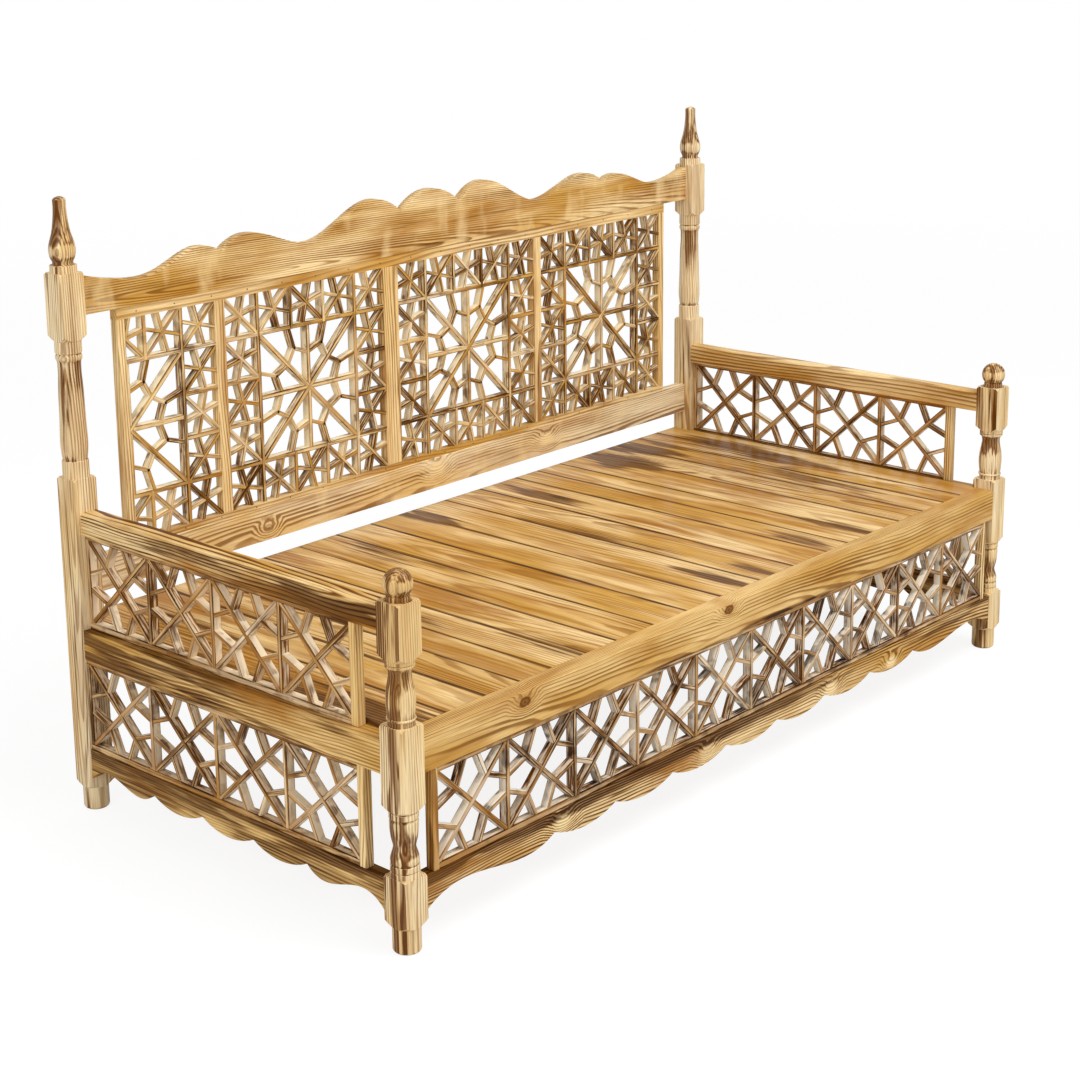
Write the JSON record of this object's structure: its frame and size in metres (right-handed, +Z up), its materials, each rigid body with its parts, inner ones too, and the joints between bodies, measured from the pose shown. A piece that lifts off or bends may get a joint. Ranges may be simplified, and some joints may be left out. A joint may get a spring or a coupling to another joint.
{
  "type": "day bench",
  "caption": "Wide wooden day bench with turned posts, boarded deck, low arms, a scalloped crest and knotwork lattices in its back, arms and skirts.",
  "frame": {"origin": "on the floor under the middle of the bench", "axes": "+X along the bench, +Y towards its back, +Z up"},
  "size_m": [2.1, 0.98, 1.295],
  "materials": {
    "frame": "gloss",
    "lattice": "gloss",
    "deck": "gloss",
    "rough": "matte",
    "steel": "satin"
  },
  "bodies": {
    "root": {"arm_lattice_left": "lattice", "arm_lattice_right": "lattice", "arm_lattice_stile_left": "lattice", "arm_lattice_stile_right": "lattice", "arm_rail_left": "frame", "arm_rail_right": "frame", "back_rail": "frame", "centre_bearer": "rough", "crest_rail": "frame", "deck_plank_01": "deck", "deck_plank_02": "deck", "deck_plank_03": "deck", "deck_plank_04": "deck", "deck_plank_05": "deck", "deck_plank_06": "deck", "deck_plank_07": "deck", "deck_plank_08": "deck", "deck_plank_09": "deck", "deck_plank_10": "deck", "deck_plank_11": "deck", "deck_plank_12": "deck", "deck_plank_13": "deck", "deck_plank_14": "deck", "deck_plank_15": "deck", "deck_plank_16": "deck", "deck_plank_17": "deck", "deck_plank_18": "deck", "deck_plank_19": "deck", "end_lattice_left": "lattice", "end_lattice_right": "lattice", "end_lattice_stile_left": "lattice", "end_lattice_stile_right": "lattice", "end_rail_left": "frame", "end_rail_right": "frame", "end_skirt_left": "frame", "end_skirt_right": "frame", "front_lattice": "lattice", "front_lattice_stile_left": "lattice", "front_lattice_stile_right": "lattice", "front_ledger": "rough", "front_rail": "frame", "front_skirt": "frame", "post_front_left": "frame", "post_front_right": "frame", "post_rear_left": "frame", "post_rear_right": "frame", "rear_rail": "rough", "screen_head": "lattice", "screen_mullion_centre": "lattice", "screen_mullion_left": "lattice", "screen_mullion_right": "lattice", "screen_panel_centre": "lattice", "screen_panel_half": "lattice", "screen_panel_left": "lattice", "screen_panel_right": "lattice", "screen_pins": "steel", "screen_sill": "lattice", "screen_stile_left": "lattice", "screen_stile_right": "lattice"}
  },
  "joints": []
}
